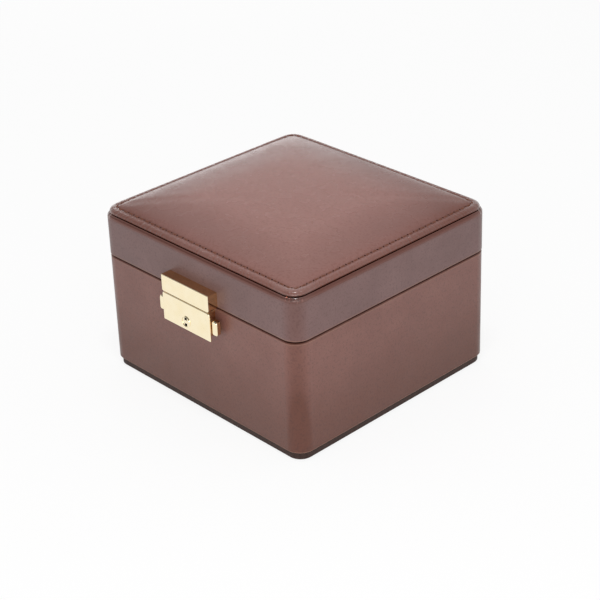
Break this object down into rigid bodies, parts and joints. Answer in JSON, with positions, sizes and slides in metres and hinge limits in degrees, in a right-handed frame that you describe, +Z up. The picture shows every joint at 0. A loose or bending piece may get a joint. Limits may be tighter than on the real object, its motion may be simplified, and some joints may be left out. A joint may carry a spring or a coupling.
{
  "type": "pocket watch display box",
  "caption": "Leather-covered box with a padded hinged lid, a push-button brass lock and velvet recesses for pocket watches.",
  "frame": {"origin": "on the table, under the middle of the case", "axes": "+X to the case's right seen from the lock, -Y towards the lock, +Z up"},
  "size_m": [0.16, 0.1652, 0.1064],
  "materials": {
    "case_leather": "semi-gloss smooth brown leather",
    "panel_leather": "semi-gloss smooth brown leather over padding",
    "board": "raw fibreboard",
    "foot_cover": "dark brown felt over board",
    "velvet": "beige velvet",
    "padding": "upholstery foam",
    "lock_brass": "polished",
    "hinge_brass": "brushed"
  },
  "bodies": {
    "case": {"base_leather": "case_leather", "base_carcass": "board", "foot_board": "foot_cover", "base_lining": "velvet", "insert_velvet": "velvet", "insert_block": "padding", "insert_foam": "padding", "recess_cushion_1": "velvet", "recess_cushion_2": "velvet", "recess_cushion_3": "velvet", "recess_cushion_4": "velvet", "lock_plate": "lock_brass", "lock_ring": "lock_brass", "lock_case": "lock_brass", "hinge_left_base_leaf": "hinge_brass", "hinge_left_pin": "hinge_brass", "hinge_right_base_leaf": "hinge_brass", "hinge_right_pin": "hinge_brass"},
    "lid": {"lid_carcass": "board", "lid_leather": "case_leather", "lid_lining": "velvet", "lid_ceiling_pad": "velvet", "lid_panel_board": "board", "lid_panel_foam": "padding", "lid_panel_leather": "panel_leather", "lock_cover": "lock_brass", "lock_hasp": "lock_brass", "hinge_left_lid_leaf": "hinge_brass", "hinge_right_lid_leaf": "hinge_brass"},
    "left_button": {"button_left": "lock_brass"},
    "right_button": {"button_right": "lock_brass"},
    "key_plug": {"lock_cylinder": "lock_brass"}
  },
  "joints": [
    {"name": "lid_hinge", "type": "hinge", "parent": "case", "child": "lid", "pos_m": [0, 0.07855, 0.0723], "axis": [-1, 0, 0], "range_deg": [0, 97]},
    {"name": "left_button_press", "type": "slide", "parent": "case", "child": "left_button", "axis": [1, 0, 0], "range_m": [0, 0.0022], "stiffness_N_per_m": 400, "springref_m": -0.002},
    {"name": "right_button_press", "type": "slide", "parent": "case", "child": "right_button", "axis": [-1, 0, 0], "range_m": [0, 0.0022], "stiffness_N_per_m": 400, "springref_m": -0.002},
    {"name": "key_turn", "type": "hinge", "parent": "case", "child": "key_plug", "pos_m": [0, -0.08, 0.0597], "axis": [0, 1, 0], "range_deg": [0, 90]}
  ]
}
